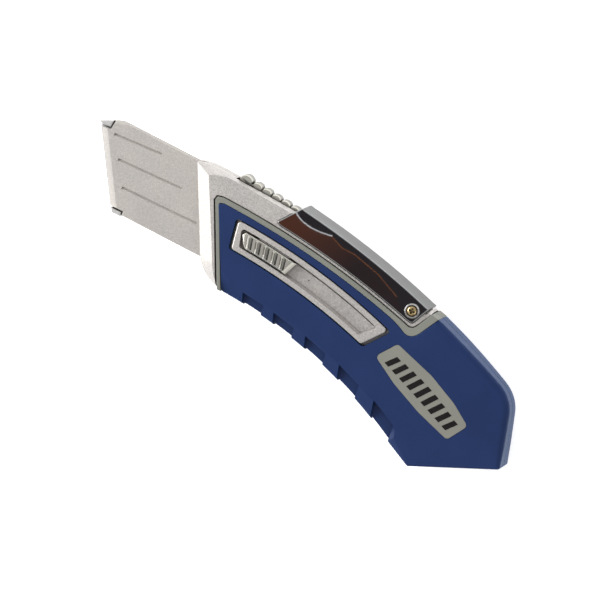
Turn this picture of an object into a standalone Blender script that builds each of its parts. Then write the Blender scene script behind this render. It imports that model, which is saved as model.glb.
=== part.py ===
"""Utility knife with a curved two-shell handle and a sliding blade holder.

The knife lies on its far side. X runs from the nose (-X) to the tail (+X), Y from the belly to the
back, Z is the thickness. The origin is on the underside, below the middle of the slider's track.
Lengths below are in millimetres and are turned into metres by the builders.
Heights called h are measured from the mid plane; side +1 is the near half, side -1 the far half.
"""
import math

import bmesh
import bpy
from mathutils import Matrix, Vector

MM = 0.001
NEAR = 1
FAR = -1

# ---- driving dimensions (mm, degrees) --------------------------------------------------------
MID = 8.5                    # height of the mid plane over the rest face
SPLIT = 0.15                 # each half stays this far off the mid plane
GAP = 0.3                    # gap between touching pieces

# heights from the mid plane
GRIP_FACE = 8.5
BORDER_FACE = 8.35
NOSE_FACE = 7.7
NOSE_SHOULDER = 4.6          # where the nose chamfers start
CORE_FACE = 6.1
COVER_FACE = 8.1
COVER_WALL = 1.0
UNDER_COVER = 6.8
CHEEK = (0.5, 1.6)
BLADE_HALF = 0.25
HOLDER_ROOM = 1.9
CARRIAGE = (1.9, 3.7)
CARRIAGE_ROOM = 4.0
TRACK_FLOOR = (5.7, 6.5)
BUTTON = (7.8, 9.2)
LEVER_HALF = 3.0             # the release lever's arm spans this on both sides of the mid plane
CLEAR = 12.0                 # cutters that come out of a face go up to this height

# arcs: centre and radius in the XY plane
BELLY = ((-24.5, -159.3), 149.1)
BACK = ((-38.0, -245.3), 270.0)
TRACK_CENTRE = (-29.5, -193.5)
TRACK_OUTER = (196.2, 205.0)
TRACK_INNER = (197.8, 203.4)
TRACK_SLOT = (202.6, 203.35)  # narrow slot under the upper wall, for the carriage's neck
NECK = (202.8, 203.15)
BUTTON_BAND = (198.3, 202.9)
COVER_EDGE = ((-33.7, -255.3), 271.7)
BORDER_EDGE = ((-34.1, -256.7), 272.0)

# the blade holder runs on rails whose centre lies far below the belly
RAIL_CENTRE = (-54.5, -305.4)
PEG_ANGLE = 5.0              # where the carriage's peg stands on the track, in degrees

NOTCH_FACE = 7.0             # face of the finger notches, as a height over the mid plane
NOTCH_STARTS = (-12.6, -1.6, 10.1, 23.1, 37.2)   # x where each notch's floor starts
NOTCH_LENGTHS = (6.3, 6.6, 6.9, 7.1, 7.7)        # and its length along x
NOTCH_DEPTH = 3.1            # from the belly line up the side face
FLOOR_DEPTH = 0.55           # how far the notch's floor lies inside the belly line
NOTCH_LEAN = -1.6            # how far the notch's front side leans towards the nose

SCREWS = ((9.0, 14.95), (36.0, -14.6), (68.0, -8.0))
SCREW_SHANK = 1.0
SCREW_HEAD = 1.9
SCREW_SEAT = 4.6
RIVETS = ((-34.0, 14.0), (-24.0, 2.2))
RIVET_HOLE = 1.3
PIVOT_BORE = 1.9             # bore round the barrel nut
GROOVE_DEPTH = 0.5
GROOVES = (((-70.6, 16.1), (-55.9, 17.2)), ((-66.2, 10.0), (-45.8, 10.8)), ((-61.4, 2.8), (-37.4, 3.4)))

RUBBER = 2.3                 # thickness of the rubber over belly, tail and back
BORDER_WIDTH = 1.5
PIVOT = (33.9, 11.15)        # cover screw and lever pivot

FRONT_TIP = (-77.0, 18.05)
PLATE_TOP = 21.0
PLATE_BOTTOM = -4.7


# ---- outlines --------------------------------------------------------------------------------
def on_arc(arc, x, inset=0.0):
    """Point of an arc at x; a positive inset moves it towards the body's inside (upwards)."""
    (cx, cy), radius = arc
    radius += inset
    return (x, cy + math.sqrt(radius ** 2 - (x - cx) ** 2))


def along(arc, x0, x1, steps, inset=0.0):
    """Points along an arc from x0 to x1."""
    return [on_arc(arc, x0 + (x1 - x0) * i / steps, inset) for i in range(steps + 1)]


def polar(centre, radius, degrees):
    """Point at an angle from straight up, clockwise, round a centre."""
    angle = math.radians(degrees)
    return (centre[0] + radius * math.sin(angle), centre[1] + radius * math.cos(angle))


def band(radii, start, end, steps, slant=0.0):
    """Closed outline of a curved strip on the track; slant leans both ends over."""
    low, high = radii
    top = [polar(TRACK_CENTRE, high, start + (end - start) * i / steps) for i in range(steps + 1)]
    low_start = start + slant
    low_end = end - slant
    bottom = [polar(TRACK_CENTRE, low, low_end + (low_start - low_end) * i / steps) for i in range(steps + 1)]
    return top + bottom


def rounded(points, steps=3):
    """Outline with its corners filleted; a point is (x, y) or (x, y, radius)."""
    outline = []
    for i, point in enumerate(points):
        here = Vector(point[:2])
        radius = point[2] if len(point) > 2 else 0.0
        if radius <= 0.0:
            outline.append((here.x, here.y))
            continue
        before = Vector(points[i - 1][:2]) - here
        after = Vector(points[(i + 1) % len(points)][:2]) - here
        half = before.angle(after) / 2
        reach = min(radius / math.tan(half), before.length * 0.48, after.length * 0.48)
        radius = reach * math.tan(half)
        middle = here + (before.normalized() + after.normalized()).normalized() * (radius / math.sin(half))
        start = here + before.normalized() * reach - middle
        end = here + after.normalized() * reach - middle
        turn = start.angle_signed(end)
        for k in range(steps + 1):
            spot = middle + Matrix.Rotation(-turn * k / steps, 2) @ start
            outline.append((spot.x, spot.y))
    return outline


def circle(centre, radius, sides=20):
    """Outline of a round hole or boss."""
    return [polar(centre, radius, -360.0 * i / sides) for i in range(sides)]


def oblong(centre, half_x, half_y):
    """Outline of a rectangle round a centre."""
    x, y = centre
    corners = ((-1, -1), (1, -1), (1, 1), (-1, 1))
    return [(x + half_x * across, y + half_y * up) for across, up in corners]


PEG = polar(TRACK_CENTRE, sum(TRACK_INNER) / 2, PEG_ANGLE)
MOUTH = [(-44.4, 20.8), (-31.1, -4.0), (-29.6, -6.6), (-26.0, -8.9), (-22.0, -10.1)]
NOSE_BROW = [(-39.2, 19.2), (-27.0, -2.8), (-26.0, -4.9), (-24.6, -7.2), (-22.6, -9.2)]
NOSE_BACK = [(-9.8, 20.9), (-30.9, 21.6), (-38.5, 22.0), (-42.0, 21.6)]
BROW_BACK = [(-9.8, 20.3), (-30.9, 21.2), (-34.5, 21.3), (-37.0, 20.4)]


def raised_outline(front, back, drop):
    """Nose, the strip under the cover and the frame behind it: the silver that stays uncovered."""
    left = [(-34.4, 13.6), (-33.9, 15.35)]
    strip = along(BORDER_EDGE, -32.5, 34.0, 10, 0.3)
    frame = [(35.6, 6.6), (36.5, 7.2), (39.5, 13.2 - drop), (38.8, 13.5 - drop), (38.6, 12.3 - drop)]
    under = along(BACK, 38.0, -8.4, 8, -1.3 - drop)
    return front + left + strip + frame + under + back


def core_outline(grow=0.0):
    """Outline of the die-cast shell under the rubber; its front ends inside the raised nose."""
    front = [(-9.8, 19.5), (-30.0, 20.3), (-35.6, 19.0), (-35.6, 14.5), (-23.2, -8.6), (-22.3, -9.5)]
    belly = along(BELLY, -21.0, 45.5, 12, RUBBER - grow)
    tail = [(53.2, -28.6 - grow), (75.9 + grow, -18.3 - grow), (72.8 + grow, -6.0), (70.6 + grow, -0.6)]
    back = along(BACK, 66.0, 40.2, 5, -RUBBER + grow)
    under = along(BACK, 39.0, -8.4, 8, -1.3)
    return front + belly + tail + back + under


def grip_outline():
    """Outline of the blue rubber, seen from the side."""
    left = [(-20.3, -9.9), (-32.7, 13.2, 0.5)]
    top = along(BORDER_EDGE, -31.0, 29.0, 10, -BORDER_WIDTH)
    corner = [(32.4, 5.1), (34.6, 4.1), (36.9, 4.0), (38.9, 5.5), (42.3, 12.4)]
    back = along(BACK, 42.6, 67.0, 5)
    tail = [(70.6, 1.9), (72.8, -0.9), (74.0, -4.0), (76.7, -12.0), (78.7, -19.2, 0.6), (53.4, -31.2, 0.8)]
    belly = along(BELLY, 45.2, -19.6, 14)
    return rounded(left + top + corner + back + tail + belly)


def border_outline():
    """Outline of the grey border between the silver and the blue."""
    outer = [(-21.6, -10.25), (-34.0, 13.6), (-33.6, 15.1)]
    outer += along(BORDER_EDGE, -32.4, 34.2, 10)
    outer += [(35.7, 6.25), (36.8, 7.0), (39.7, 12.9)]
    inner = [(42.0, 12.4), (38.65, 5.7), (36.8, 4.35), (34.7, 4.4), (32.5, 5.4)]
    inner += along(BORDER_EDGE, 29.0, -31.0, 10, -BORDER_WIDTH + GAP)
    inner += [(-33.05, 13.4), (-20.65, -10.25)]
    return outer + inner


def holder_outline():
    """Outline of the blade holder's cheek, out to its tail inside the handle."""
    return rounded([
        (-72.5, 20.25), (-70.6, PLATE_TOP), (-41.5, PLATE_TOP), (-36.0, 19.0),
        (-5.5, 12.0, 2.0), (-5.5, 2.2, 2.0), (-20.0, -1.2, 3.0), (-28.0, PLATE_BOTTOM, 2.0),
        (-58.2, PLATE_BOTTOM), (-58.3, -3.4), (-62.5, -3.6), (-75.7, 16.6), (-72.7, 17.2),
    ])


def sweep_outline():
    """Room that the blade holder needs as it slides, open at the mouth."""
    return [
        (-50.0, 21.3), (-38.0, 21.35), (-9.2, 18.9), (-4.2, 16.6), (26.0, 6.9), (25.4, -4.8),
        (9.6, -6.4), (1.4, -9.1), (-30.5, -6.0), (-50.0, -5.1),
    ]


def cover_outline(grow=0.0):
    """Outline of the chrome cover's side wall."""
    front = [(-14.6 - grow, 16.1), (-9.4 - grow, 23.3 + grow)]
    back = along(BACK, -8.0, 37.4, 9, grow)
    rear = [(38.3 + grow, 13.9 + grow), (35.3 + grow, 7.6 - grow)]
    edge = along(COVER_EDGE, 34.2, -13.4, 9, -grow)
    return front + back + rear + edge


def badge_outline(grow=0.0):
    """Barrel-shaped inlay with four bulging sides."""
    corners = [(34.6, 0.3), (48.2, -3.4), (57.6, -7.6), (64.4, -12.0),
               (60.4, -18.4), (48.9, -15.0), (38.8, -10.8), (30.2, -6.0)]
    middle = Vector((47.5, -8.6))
    spread = [middle + (Vector(c) - middle) * (1 + grow / 14.0) for c in corners]
    return rounded([(spot.x, spot.y, 1.6) for spot in spread], 2)


# ---- builders --------------------------------------------------------------------------------
def collection(name):
    made = bpy.data.collections.new(name)
    bpy.context.scene.collection.children.link(made)
    return made


def paint(name, colour, roughness, metallic=0.0):
    """Principled material with one colour."""
    material = bpy.data.materials.new(name)
    material.use_nodes = True
    shader = material.node_tree.nodes["Principled BSDF"]
    shader.inputs["Base Color"].default_value = (*colour, 1.0)
    shader.inputs["Roughness"].default_value = roughness
    shader.inputs["Metallic"].default_value = metallic
    return material


def level(side, h):
    """Z of a height above the mid plane on one side."""
    return (MID + side * h) * MM


def settle(piece, name, colour):
    """Name a piece, shade it, and put it in the knife or among the cutters."""
    piece.name = name
    piece.data.name = name
    if colour is None:
        piece.hide_render = True
        piece.display_type = "WIRE"
        CUTTERS.objects.link(piece)
    else:
        piece.data.materials.append(paint(name, *colour))
        KNIFE.objects.link(piece)
    piece.data.shade_smooth()
    piece.data.set_sharp_from_angle(angle=math.radians(30))
    return piece


def slab(name, outline, low, high, side=NEAR, colour=None):
    """Flat outline with a thickness, as a closed mesh; colour None makes it a cutter."""
    flat = bpy.data.curves.new(name, "CURVE")
    flat.dimensions = "2D"
    flat.fill_mode = "BOTH"
    flat.extrude = abs(high - low) / 2 * MM
    spline = flat.splines.new("POLY")
    spline.points.add(len(outline) - 1)
    for spot, (x, y) in zip(spline.points, outline):
        spot.co = (x * MM, y * MM, 0.0, 1.0)
    spline.use_cyclic_u = True
    source = bpy.data.objects.new(name + "_curve", flat)
    bpy.context.scene.collection.objects.link(source)
    source.location.z = level(side, (low + high) / 2)
    bpy.context.view_layer.update()
    seen = source.evaluated_get(bpy.context.evaluated_depsgraph_get())
    mesh = bpy.data.meshes.new_from_object(seen)
    mesh.transform(source.matrix_world)
    bpy.data.objects.remove(source)
    clean(mesh)
    return settle(bpy.data.objects.new(name, mesh), name, colour)


def clean(mesh):
    """Weld a mesh's caps and merge its flat triangles."""
    shape = bmesh.new()
    shape.from_mesh(mesh)
    bmesh.ops.remove_doubles(shape, verts=shape.verts, dist=0.000005)
    bmesh.ops.dissolve_limit(shape, angle_limit=math.radians(0.5), verts=shape.verts, edges=shape.edges)
    write_outward(shape, mesh)


def write_outward(shape, mesh):
    """Write a closed bmesh to a mesh with its faces pointing out."""
    bmesh.ops.recalc_face_normals(shape, faces=shape.faces)
    if shape.calc_volume(signed=True) < 0.0:
        bmesh.ops.reverse_faces(shape, faces=shape.faces)
    shape.to_mesh(mesh)
    shape.free()


def loft(name, sections, side=NEAR, colour=None):
    """Solid through several outlines of the same number of points, each at its own height."""
    shape = bmesh.new()
    rings = []
    for outline, h in sections:
        rings.append([shape.verts.new((x * MM, y * MM, level(side, h))) for x, y in outline])
    shape.faces.new(rings[0])
    shape.faces.new(rings[-1])
    count = len(rings[0])
    for lower, upper in zip(rings, rings[1:]):
        for i in range(count):
            j = (i + 1) % count
            shape.faces.new((lower[i], lower[j], upper[j], upper[i]))
    mesh = bpy.data.meshes.new(name)
    write_outward(shape, mesh)
    return settle(bpy.data.objects.new(name, mesh), name, colour)


def combine(piece, other, operation):
    """Add an exact Boolean to a piece."""
    step = piece.modifiers.new(other.name, "BOOLEAN")
    step.object = other
    step.operation = operation
    step.solver = "EXACT"
    return piece


def cut(piece, *others):
    for other in others:
        combine(piece, other, "DIFFERENCE")
    return piece


def join(piece, *others):
    for other in others:
        combine(piece, other, "UNION")
    return piece


def chamfer(piece, width, height, side=NEAR):
    """Bevel only the rim of a piece's top face, which lies at a height h."""
    data = piece.data
    weights = data.attributes.new("bevel_weight_edge", "FLOAT", "EDGE")
    top = level(side, height)
    for edge in data.edges:
        ends = [data.vertices[v].co.z for v in edge.vertices]
        weights.data[edge.index].value = 1.0 if all(abs(z - top) < 0.00002 for z in ends) else 0.0
    step = piece.modifiers.new("chamfer", "BEVEL")
    step.limit_method = "WEIGHT"
    step.width = width * MM
    step.segments = 1
    return piece


def peg(name, centre, radius, low, high, side=NEAR, colour=None, sides=20):
    """Round peg, hole or boss across the thickness."""
    return slab(name, circle(centre, radius, sides), low, high, side, colour)


def turned(name, centre, profile, side, colour, sides=24):
    """Turned piece on an axis along Z; profile is (radius, h) from its top to its bottom."""
    mesh = bpy.data.meshes.new(name)
    spots = [(radius * MM, 0.0, side * h * MM) for radius, h in profile]
    mesh.from_pydata(spots, [(i, i + 1) for i in range(len(spots) - 1)], [])
    piece = bpy.data.objects.new(name, mesh)
    piece.location = (centre[0] * MM, centre[1] * MM, MID * MM)
    spin = piece.modifiers.new("turn", "SCREW")
    spin.steps = sides
    spin.render_steps = sides
    spin.use_merge_vertices = True
    spin.merge_threshold = 0.000001
    spin.use_normal_flip = side == FAR
    settle(piece, name, colour)
    return piece


def pivot_empty(name, centre):
    """Empty that marks a joint's axis in the XY plane."""
    empty = bpy.data.objects.new(name, None)
    empty.location = (centre[0] * MM, centre[1] * MM, MID * MM)
    empty.empty_display_size = 0.005
    KNIFE.objects.link(empty)
    return empty


def hang(empty, *pieces):
    """Parent pieces to a joint's empty without moving them."""
    bpy.context.view_layer.update()
    for piece in pieces:
        piece.parent = empty
        piece.matrix_parent_inverse = empty.matrix_world.inverted()


# ---- colours: base colour, roughness, metallic ------------------------------------------------
SILVER = ((0.55, 0.53, 0.51), 0.45, 0.7)
STEEL = ((0.6, 0.6, 0.6), 0.25, 1.0)
CHROME = ((0.75, 0.75, 0.75), 0.08, 1.0)
BLUE = ((0.015, 0.035, 0.13), 0.55, 0.0)
GREY = ((0.26, 0.27, 0.25), 0.6, 0.0)
BRASS = ((0.5, 0.4, 0.2), 0.3, 1.0)


# ---- the handle ------------------------------------------------------------------------------
def lever_well(side):
    """Room for the release lever and its hook, from the back down to the pivot."""
    arm = [(-31.9, 26.0), (-31.9, 19.6), (-11.0, 18.4), (-4.0, 17.2), (20.0, 13.2), (31.0, 8.0), (37.3, 8.0),
           (37.3, 26.0)]
    return slab(f"lever_well_{side}", arm, -0.5, LEVER_HALF + 0.4, side)


def housing(name, side):
    """Die-cast half: a core under the rubber, and the silver nose, strip and frame that show."""
    shell = slab(name, core_outline(), SPLIT, CORE_FACE, side, SILVER)
    full = raised_outline(MOUTH, NOSE_BACK, 0.0)
    face = raised_outline(NOSE_BROW, BROW_BACK, 0.6)
    raised = loft(name + "_raised", [(full, SPLIT), (full, NOSE_SHOULDER), (face, NOSE_FACE)], side)
    cut(raised, slab(name + "_cover_bed", cover_outline(GAP), UNDER_COVER, CLEAR, side))
    join(shell, raised)
    cut(shell, slab(name + "_blade_room", sweep_outline(), -1.0, HOLDER_ROOM, side))
    cut(shell, lever_well(side))
    cut(shell, peg(name + "_pivot_bore", PIVOT, PIVOT_BORE, -1.0, CLEAR, side))
    return shell


def screw_bores(shell, side):
    """Bores for the three housing screws: through the far half, blind in the near half."""
    for i, centre in enumerate(SCREWS):
        depth = CLEAR if side == FAR else SCREW_SEAT
        cut(shell, peg(f"screw_bore_{side}_{i}", centre, SCREW_SHANK + GAP, -1.0, depth, side, sides=12))
        if side == FAR:
            seat = peg(f"screw_seat_{side}_{i}", centre, SCREW_HEAD + GAP, SCREW_SEAT, CLEAR, side, sides=16)
            cut(shell, seat)
    return shell


def grip(name, side):
    """Rubber half that wraps the belly, the tail and the back behind the cover."""
    rubber = slab(name, grip_outline(), SPLIT, GRIP_FACE, side, BLUE)
    chamfer(rubber, 1.4, GRIP_FACE, side)
    cut(rubber, slab(name + "_inside", core_outline(GAP), -1.0, CORE_FACE + GAP, side))
    cut(rubber, slab(name + "_badge_bed", badge_outline(0.45), GRIP_FACE - 0.9, CLEAR, side))
    for i, (notch, floor) in enumerate(zip(notch_outlines(), floor_outlines())):
        cut(rubber, slab(f"{name}_notch_{i}", notch, NOTCH_FACE, CLEAR, side))
        cut(rubber, slab(f"{name}_floor_{i}", floor, -1.0, NOTCH_FACE + 0.5, side))
    return rubber


def notch_outlines():
    """Side windows of the five finger notches, leaning forward like the mouth."""
    outlines = []
    for start, length in zip(NOTCH_STARTS, NOTCH_LENGTHS):
        top = NOTCH_DEPTH + 0.035 * max(start, 0.0)
        a = on_arc(BELLY, start, -1.5)
        b = on_arc(BELLY, start + length, -1.5)
        c = on_arc(BELLY, start + length + NOTCH_LEAN * 0.35, top)
        d = on_arc(BELLY, start + NOTCH_LEAN, top)
        outlines.append([a, b, c, d])
    return outlines


def floor_outlines():
    """Shallow cuts that give each notch its floor across the belly."""
    outlines = []
    for start, length in zip(NOTCH_STARTS, NOTCH_LENGTHS):
        outer = along(BELLY, start, start + length, 2, -2.0)
        inner = along(BELLY, start + length, start, 2, FLOOR_DEPTH)
        outlines.append(outer + inner)
    return outlines


def border(name, side):
    """Grey border moulded between the silver and the blue."""
    strip = slab(name, border_outline(), SPLIT, BORDER_FACE, side, GREY)
    chamfer(strip, 0.4, BORDER_FACE, side)
    cut(strip, slab(name + "_inside", core_outline(GAP), -1.0, CORE_FACE + GAP, side))
    return strip


def badge(name, side):
    """Inlay on the grip's side face."""
    return slab(name, badge_outline(), GRIP_FACE - 0.6, GRIP_FACE, side, GREY)


def track():
    """Slider track: a tray with a raised rim, a floor and a slot along the upper wall."""
    tray = slab("slider_track", TRAY, TRACK_FLOOR[0], GRIP_FACE, NEAR, SILVER)
    chamfer(tray, 0.5, GRIP_FACE)
    cut(tray, slab("track_recess", RECESS, TRACK_FLOOR[1], CLEAR))
    cut(tray, slab("track_slot", band(TRACK_SLOT, 3.2, 15.7, 10), 0.0, CLEAR))
    return tray


def tray_outline(radii, start, end, corner):
    """Outline of the track: concentric arcs joined by ends that lean like the mouth."""
    low, high = radii
    low_start = start + 0.6
    low_end = end - 0.95
    top = [polar(TRACK_CENTRE, high, start + (end - start) * i / 10) for i in range(11)]
    bottom = [polar(TRACK_CENTRE, low, low_end + (low_start - low_end) * i / 10) for i in range(11)]
    return rounded([top[0] + (corner,)] + top[1:-1] + [top[-1] + (corner,), bottom[0] + (corner,)]
                   + bottom[1:-1] + [bottom[-1] + (corner,)])


def build_handle():
    near = screw_bores(housing("housing_near", NEAR), NEAR)
    far = screw_bores(housing("housing_far", FAR), FAR)
    cut(near, slab("track_pocket", tray_outline((195.9, 205.3), 1.0, 17.2, 0.8), TRACK_FLOOR[0] - GAP, CLEAR))
    cut(near, slab("carriage_room", band((197.7, 203.6), 2.2, 17.4, 10), 0.5, CARRIAGE_ROOM))
    cut(near, slab("neck_slot", band(TRACK_SLOT, 3.1, 15.8, 10), 0.0, CLEAR))
    hook = [(-34.0, 21.3), (-34.0, 10.6), (-30.4, 10.6), (-30.4, 19.4), (-27.0, 19.4), (-27.0, 21.3)]
    cut(far, slab("hook_room", hook, 0.0, 5.0, FAR))
    cut(far, slab("lug_room", [(-31.2, 15.6), (6.5, 13.4), (6.5, 8.4), (-31.2, 12.4)], 0.0, 3.7, FAR))
    grips = [grip("grip_near", NEAR), grip("grip_far", FAR)]
    cut(grips[0], slab("grip_window", tray_outline((195.9, 205.3), 1.0, 17.2, 0.8), 0.0, CLEAR))
    for i, centre in enumerate(SCREWS[1:]):
        cut(grips[1], peg(f"grip_screw_hole_{i}", centre, SCREW_HEAD + GAP, 0.0, CLEAR, FAR, sides=16))
    border("border_near", NEAR)
    border("border_far", FAR)
    badge("badge_near", NEAR)
    badge("badge_far", FAR)
    track()


# ---- fasteners -------------------------------------------------------------------------------
def housing_screw(name, centre):
    """Pan-head screw driven from the far side into the near half."""
    profile = [
        (0.0, -4.3), (SCREW_SHANK, -4.3), (SCREW_SHANK, SCREW_SEAT + 0.2), (SCREW_HEAD, SCREW_SEAT + 0.2),
        (SCREW_HEAD, SCREW_SEAT + 1.0), (1.5, SCREW_SEAT + 1.5), (0.0, SCREW_SEAT + 1.5),
    ]
    screw = turned(name, centre, profile, FAR, STEEL, 16)
    socket = peg(name + "_socket", centre, 0.7, SCREW_SEAT + 0.8, SCREW_SEAT + 3.0, FAR, sides=6)
    return cut(screw, socket)


def cover_fastening():
    """Screw, washer ring and barrel nut that hold the cover and carry the lever."""
    profile = [(0.0, 8.9), (1.0, 8.9), (1.55, 8.5), (1.55, 7.4), (0.8, 7.4), (0.8, 1.0), (0.0, 1.0)]
    screw = turned("cover_screw", PIVOT, profile, NEAR, BRASS)
    cut(screw, slab("driver_slot", oblong(PIVOT, 1.2, 0.2), 8.4, CLEAR))
    cut(screw, slab("driver_cross", oblong(PIVOT, 0.2, 1.2), 8.4, CLEAR))
    turned("cover_ring", PIVOT, [(1.85, 8.8), (2.3, 8.6), (2.3, 8.4), (1.85, 8.4), (1.85, 8.8)], NEAR, STEEL)
    nut = turned("barrel_nut", PIVOT, [(0.0, 8.4), (1.3, 8.4), (1.6, 8.2), (1.6, -6.9), (0.0, -6.9)],
                 FAR, STEEL)
    cut(nut, peg("nut_bore", PIVOT, 1.1, 0.5, CLEAR, NEAR))
    return screw


# ---- the cover and the release lever ----------------------------------------------------------
def back_cover():
    """Chrome saddle over the back: two side walls and a back wall."""
    saddle = slab("back_cover", cover_outline(), -COVER_FACE, COVER_FACE, NEAR, CHROME)
    inner = [(-20.0, 10.0), (-20.0, 24.0)] + along(BACK, -12.0, 39.5, 8, -COVER_WALL) + [(42.0, -4.0)]
    hollow = slab("cover_hollow", inner, -COVER_FACE + COVER_WALL, COVER_FACE - COVER_WALL)
    cut(saddle, hollow)
    cut(saddle, peg("cover_bore", PIVOT, PIVOT_BORE, -CLEAR, CLEAR))
    return saddle


def lever_top():
    """Top line of the release lever: a big bump, five ribs, then the arm under the cover."""
    spots = []
    for i in range(7):
        angle = math.pi * i / 6
        spots.append((-29.1 - 1.9 * math.cos(angle), 22.4 + 1.7 * math.sin(angle)))
    for rib in range(5):
        centre = -25.2 + 3.3 * rib
        base = 22.2 - 0.3 * rib
        for i in range(5):
            angle = math.pi * i / 4
            spots.append((centre - 1.15 * math.cos(angle), base + 1.2 * math.sin(angle)))
    return spots


def release_lever():
    """Chrome lever hinged on the barrel nut; its ribbed pad lies in front of the cover."""
    arm_top = along(BACK, -9.0, 31.0, 8, -1.7)
    arm_bottom = along(BACK, 29.0, -9.0, 8, -3.6)
    pad_bottom = [(-12.0, 20.2), (-27.5, 20.9), (-31.0, 21.2)]
    boss = [polar(PIVOT, 2.4, -20.0 + 200.0 * i / 8) for i in range(9)]
    outline = lever_top() + arm_top + boss + [(30.6, 9.6)] + arm_bottom + pad_bottom
    lever = slab("release_lever", outline, -LEVER_HALF, LEVER_HALF, NEAR, CHROME)
    cut(lever, peg("lever_bore", PIVOT, PIVOT_BORE, -CLEAR, CLEAR))
    stem = slab("lever_stem", [(-31.0, 21.0), (-33.2, 21.0), (-33.2, 12.2), (-31.0, 12.2)], 3.4, 4.6, FAR)
    tooth = slab("lever_tooth", [(-31.0, 13.8), (-33.2, 13.8), (-33.2, 12.2), (-31.0, 12.2)], 1.9, 4.0, FAR)
    bridge = slab("lever_bridge", [(-27.5, 21.25), (-33.2, 21.0), (-33.2, 20.4), (-27.5, 20.4)], 2.1, 4.6, FAR)
    join(stem, tooth)
    join(bridge, stem)
    return join(lever, bridge)


def lever_spring():
    """Bent wire spring that lifts the lever."""
    wire = bpy.data.curves.new("lever_spring", "CURVE")
    wire.dimensions = "3D"
    wire.bevel_depth = 0.3 * MM
    wire.bevel_resolution = 2
    wire.use_fill_caps = True
    spots = [(-3.6, 17.75), (-2.0, 18.0), (0.0, 18.05), (2.0, 17.6), (4.0, 16.8)]
    spline = wire.splines.new("POLY")
    spline.points.add(len(spots) - 1)
    for spot, (x, y) in zip(spline.points, spots):
        spot.co = (x * MM, y * MM, 0.0, 1.0)
    source = bpy.data.objects.new("spring_curve", wire)
    bpy.context.scene.collection.objects.link(source)
    source.location.z = MID * MM
    bpy.context.view_layer.update()
    mesh = bpy.data.meshes.new_from_object(source.evaluated_get(bpy.context.evaluated_depsgraph_get()))
    mesh.transform(source.matrix_world)
    bpy.data.objects.remove(source)
    clean(mesh)
    return settle(bpy.data.objects.new("lever_spring", mesh), "lever_spring", STEEL)


# ---- the slider ------------------------------------------------------------------------------
def carriage():
    """Curved block under the track, with a peg into the holder and a neck up to the button."""
    block = slab("slider_carriage", band((198.1, 203.2), 2.7, 8.1, 6), CARRIAGE[0], CARRIAGE[1], NEAR, STEEL)
    join(block, peg("drive_peg", PEG, 1.3, CHEEK[0] + 0.1, CARRIAGE[0] + 0.5))
    join(block, slab("carriage_neck", band(NECK, 3.6, 6.6, 4), CARRIAGE[1] - 0.5, 7.7))
    return join(block, slab("carriage_head", band((199.8, 203.0), 3.6, 6.6, 4), 7.1, 8.0))


def button():
    """Thumb button with five cross ribs; it presses down over the carriage's head."""
    base = slab("slider_button", band(BUTTON_BAND, 2.0, 7.4, 8, 0.5), BUTTON[0], BUTTON[1], NEAR, CHROME)
    for i in range(5):
        start = 2.95 + 0.8 * i
        rib = band((198.9, 202.4), start, start + 0.42, 1)
        join(base, slab(f"button_rib_{i}", rib, BUTTON[1] - 0.4, BUTTON[1] + 0.6))
    return cut(base, slab("button_pocket", band((199.5, 203.3), 3.3, 6.9, 4), 6.0, BUTTON[1] - 0.5))


def button_spring():
    """Bowed leaf between the carriage's head and the button."""
    low, high = polar(TRACK_CENTRE, 200.4, 3.8), polar(TRACK_CENTRE, 200.4, 6.4)
    shape = bmesh.new()
    rows = []
    for i in range(9):
        share = i / 8
        x = low[0] + (high[0] - low[0]) * share
        y = low[1] + (high[1] - low[1]) * share
        rise = 8.2 + 0.25 * math.sin(math.pi * share)
        rows.append([shape.verts.new((x * MM, (y + dy) * MM, level(NEAR, rise + dh)))
                     for dy, dh in ((-0.4, 0.0), (0.6, 0.0), (0.6, 0.15), (-0.4, 0.15))])
    shape.faces.new(rows[0])
    shape.faces.new(rows[-1])
    for a, b in zip(rows, rows[1:]):
        for i in range(4):
            j = (i + 1) % 4
            shape.faces.new((a[i], a[j], b[j], b[i]))
    mesh = bpy.data.meshes.new("button_spring")
    write_outward(shape, mesh)
    return settle(bpy.data.objects.new("button_spring", mesh), "button_spring", STEEL)


# ---- the blade holder ------------------------------------------------------------------------
def drive_slot():
    """Slot in the cheeks for the carriage's peg, with room for the small shift between the two arcs."""
    x, y = PEG
    return rounded([(x - 1.6, y - 2.2, 1.5), (x + 1.6, y - 2.2, 1.5),
                    (x + 1.6, y + 2.4, 1.5), (x - 1.6, y + 2.4, 1.5)])


def cheek(name, side):
    """One side of the blade holder, with three grooves outside."""
    plate = slab(name, holder_outline(), CHEEK[0], CHEEK[1], side, SILVER)
    chamfer(plate, 0.35, CHEEK[1], side)
    cut(plate, slab(name + "_drive_slot", drive_slot(), -3.0, 3.0, side))
    for i, ((x0, y0), (x1, y1)) in enumerate(GROOVES):
        groove = rounded([(x0, y0 - 0.35, 0.34), (x1, y1 - 0.35, 0.34),
                          (x1, y1 + 0.35, 0.34), (x0, y0 + 0.35, 0.34)])
        cut(plate, slab(f"{name}_groove_{i}", groove, CHEEK[1] - GROOVE_DEPTH, 3.0, side))
    for i, centre in enumerate(RIVETS):
        cut(plate, peg(f"{name}_rivet_hole_{i}", centre, RIVET_HOLE, -3.0, 3.0, side, sides=16))
    return plate


def corner_lug(name, outline):
    """Corner piece that closes the gap between the cheeks at a front corner."""
    return slab(name, outline, -CHEEK[1] + 0.1, CHEEK[1] - 0.1, NEAR, STEEL)


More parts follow.
